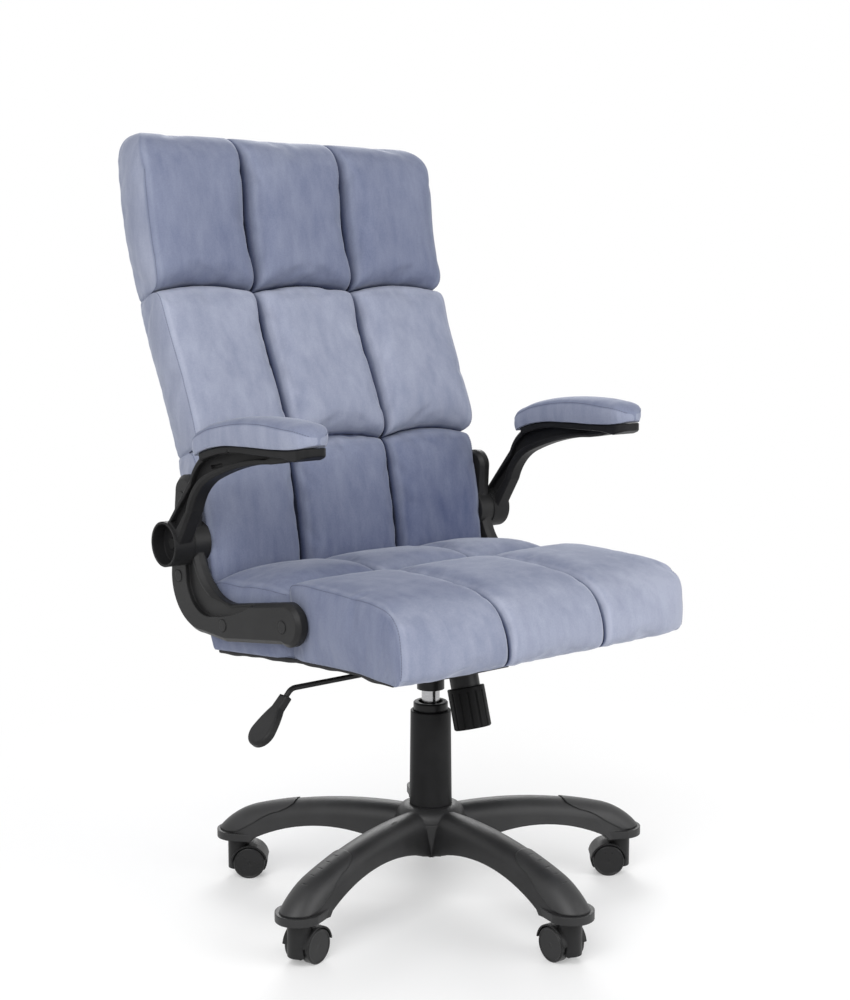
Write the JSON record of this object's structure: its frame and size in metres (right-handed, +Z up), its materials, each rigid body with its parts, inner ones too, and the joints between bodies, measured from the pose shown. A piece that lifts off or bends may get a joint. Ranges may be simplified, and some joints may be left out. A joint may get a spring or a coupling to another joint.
{
  "type": "office chair",
  "caption": "Office chair with a quilted velvet seat and high back, flip-up padded arms, gas lift, tilt mechanism and a moulded star base on twin-wheel casters.",
  "frame": {"origin": "on the floor, on the axis of the gas lift", "axes": "+Z up; the sitter faces -Y; the sitter's right hand is towards -X"},
  "size_m": [0.6958, 0.7849, 1.1768],
  "materials": {
    "moulded_black": "fine grain",
    "tread_black": "matt, grooved",
    "cover_black": "satin",
    "cap_black": "satin",
    "wheel_nylon": "satin gloss",
    "hood_nylon": "satin",
    "bush_plastic": "smooth",
    "pipe_black": "satin black",
    "pressed_black": "powder coat",
    "rod_black": "satin black",
    "plated_steel": "zinc plated",
    "spring_steel": "oiled",
    "chrome": "polished",
    "ply": "bare",
    "velvet": "short pile velvet",
    "dust_cloth": "non-woven"
  },
  "bodies": {
    "base": {"star_base": "moulded_black", "foot_pads": "tread_black", "column_cover": "cover_black", "standpipe": "pipe_black", "guide_bush": "bush_plastic"},
    "piston": {"piston_rod": "chrome", "thrust_bearing": "plated_steel", "retaining_clip": "plated_steel"},
    "mechanism": {"gas_cylinder": "chrome", "tilt_housing": "pressed_black", "tilt_axle": "plated_steel", "tilt_spring": "spring_steel"},
    "valve": {"valve_pin": "plated_steel"},
    "lever_pivot": {"lever_bush": "bush_plastic"},
    "lever": {"lever_rod": "rod_black", "lever_handle": "moulded_black"},
    "tension": {"tension_bolt": "plated_steel"},
    "knob": {"tension_knob": "moulded_black"},
    "seat": {"seat_plate": "pressed_black", "seat_bolts": "plated_steel", "seat_shell": "ply", "seat_cushion": "velvet", "dust_cover": "dust_cloth", "back_shell": "ply", "back_cushion": "velvet", "back_panel": "velvet", "arm_bracket_right": "moulded_black", "bracket_bolts_right": "plated_steel", "bolt_caps_right": "cap_black", "arm_pivot_right": "plated_steel", "arm_bracket_left": "moulded_black", "bracket_bolts_left": "plated_steel", "bolt_caps_left": "cap_black", "arm_pivot_left": "plated_steel"},
    "arm_r": {"arm_right": "moulded_black", "arm_pad_right": "velvet", "pad_screws_right": "plated_steel"},
    "arm_l": {"arm_left": "moulded_black", "arm_pad_left": "velvet", "pad_screws_left": "plated_steel"},
    "caster_1": {"caster_hood_1": "hood_nylon", "caster_pins_1": "plated_steel"},
    "wheel_1a": {"caster_wheel_1a": "wheel_nylon"},
    "wheel_1b": {"caster_wheel_1b": "wheel_nylon"},
    "caster_2": {"caster_hood_2": "hood_nylon", "caster_pins_2": "plated_steel"},
    "wheel_2a": {"caster_wheel_2a": "wheel_nylon"},
    "wheel_2b": {"caster_wheel_2b": "wheel_nylon"},
    "caster_3": {"caster_hood_3": "hood_nylon", "caster_pins_3": "plated_steel"},
    "wheel_3a": {"caster_wheel_3a": "wheel_nylon"},
    "wheel_3b": {"caster_wheel_3b": "wheel_nylon"},
    "caster_4": {"caster_hood_4": "hood_nylon", "caster_pins_4": "plated_steel"},
    "wheel_4a": {"caster_wheel_4a": "wheel_nylon"},
    "wheel_4b": {"caster_wheel_4b": "wheel_nylon"},
    "caster_5": {"caster_hood_5": "hood_nylon", "caster_pins_5": "plated_steel"},
    "wheel_5a": {"caster_wheel_5a": "wheel_nylon"},
    "wheel_5b": {"caster_wheel_5b": "wheel_nylon"}
  },
  "joints": [
    {"name": "seat_swivel", "type": "hinge", "parent": "base", "child": "piston", "pos_m": [0, 0, 0.08], "axis": [0, 0, 1], "continuous": true},
    {"name": "seat_height", "type": "slide", "parent": "piston", "child": "mechanism", "axis": [0, 0, 1], "range_m": [0, 0.1]},
    {"name": "seat_tilt", "type": "hinge", "parent": "mechanism", "child": "seat", "pos_m": [0, -0.038, 0.386], "axis": [-1, 0, 0], "range_deg": [0, 12], "stiffness_Nm_per_rad": 260, "springref_deg": -28.65},
    {"name": "tension_draw", "type": "slide", "parent": "mechanism", "child": "tension", "axis": [0, 0.2723, 0.9622], "range_m": [0, 0.0075], "deforming": ["tilt_spring"]},
    {"name": "tension_turn", "type": "hinge", "parent": "tension", "child": "knob", "pos_m": [0, -0.08, 0.347], "axis": [0, 0.2723, 0.9622], "range_deg": [0, 720]},
    {"name": "lever_lift", "type": "hinge", "parent": "mechanism", "child": "lever_pivot", "pos_m": [-0.05, 0, 0.372], "axis": [0, 1, 0], "range_deg": [0, 5], "stiffness_Nm_per_rad": 6, "springref_deg": -11.46},
    {"name": "lever_pull", "type": "slide", "parent": "lever_pivot", "child": "lever", "axis": [-1, 0, 0], "range_m": [0, 0.015]},
    {"name": "valve_press", "type": "slide", "parent": "mechanism", "child": "valve", "axis": [0, 0, -1], "range_m": [0, 0.005]},
    {"name": "arm_flip_right", "type": "hinge", "parent": "seat", "child": "arm_r", "pos_m": [-0.317, 0.216, 0.561], "axis": [-1, 0, 0], "range_deg": [0, 95]},
    {"name": "arm_flip_left", "type": "hinge", "parent": "seat", "child": "arm_l", "pos_m": [0.317, 0.216, 0.561], "axis": [-1, 0, 0], "range_deg": [0, 95]},
    {"name": "caster_swivel_1", "type": "hinge", "parent": "base", "child": "caster_1", "pos_m": [0.20438, 0.24882, 0.066], "axis": [0, 0, 1], "continuous": true},
    {"name": "wheel_roll_1a", "type": "hinge", "parent": "caster_1", "child": "wheel_1a", "pos_m": [0.19296, 0.23491, 0.025], "axis": [-0.7727, 0.6347, 0], "continuous": true},
    {"name": "wheel_roll_1b", "type": "hinge", "parent": "caster_1", "child": "wheel_1b", "pos_m": [0.19296, 0.23491, 0.025], "axis": [-0.7727, 0.6347, 0], "continuous": true},
    {"name": "caster_swivel_2", "type": "hinge", "parent": "base", "child": "caster_2", "pos_m": [-0.17348, 0.27127, 0.066], "axis": [0, 0, 1], "continuous": true},
    {"name": "wheel_roll_2a", "type": "hinge", "parent": "caster_2", "child": "wheel_2a", "pos_m": [-0.15957, 0.25984, 0.025], "axis": [-0.6347, -0.7727, 0], "continuous": true},
    {"name": "wheel_roll_2b", "type": "hinge", "parent": "caster_2", "child": "wheel_2b", "pos_m": [-0.15957, 0.25984, 0.025], "axis": [-0.6347, -0.7727, 0], "continuous": true},
    {"name": "caster_swivel_3", "type": "hinge", "parent": "base", "child": "caster_3", "pos_m": [-0.3116, -0.08117, 0.066], "axis": [0, 0, 1], "continuous": true},
    {"name": "wheel_roll_3a", "type": "hinge", "parent": "caster_3", "child": "wheel_3a", "pos_m": [-0.29418, -0.07663, 0.025], "axis": [0.2521, -0.9677, 0], "continuous": true},
    {"name": "wheel_roll_3b", "type": "hinge", "parent": "caster_3", "child": "wheel_3b", "pos_m": [-0.29418, -0.07663, 0.025], "axis": [0.2521, -0.9677, 0], "continuous": true},
    {"name": "caster_swivel_4", "type": "hinge", "parent": "base", "child": "caster_4", "pos_m": [-0.0191, -0.32143, 0.066], "axis": [0, 0, 1], "continuous": true},
    {"name": "wheel_roll_4a", "type": "hinge", "parent": "caster_4", "child": "wheel_4a", "pos_m": [-0.01803, -0.30346, 0.025], "axis": [0.9982, -0.0593, 0], "continuous": true},
    {"name": "wheel_roll_4b", "type": "hinge", "parent": "caster_4", "child": "wheel_4b", "pos_m": [-0.01803, -0.30346, 0.025], "axis": [0.9982, -0.0593, 0], "continuous": true},
    {"name": "caster_swivel_5", "type": "hinge", "parent": "base", "child": "caster_5", "pos_m": [0.2998, -0.11749, 0.066], "axis": [0, 0, 1], "continuous": true},
    {"name": "wheel_roll_5a", "type": "hinge", "parent": "caster_5", "child": "wheel_5a", "pos_m": [0.28609, -0.10582, 0.025], "axis": [0.6481, 0.7615, 0], "continuous": true},
    {"name": "wheel_roll_5b", "type": "hinge", "parent": "caster_5", "child": "wheel_5b", "pos_m": [0.28609, -0.10582, 0.025], "axis": [0.6481, 0.7615, 0], "continuous": true}
  ],
  "couplings": [
    {"joint": "tension_draw", "follows": "seat_tilt", "m_per_rad": 0.034},
    {"joint": "valve_press", "follows": "lever_lift", "m_per_rad": 0.056}
  ]
}
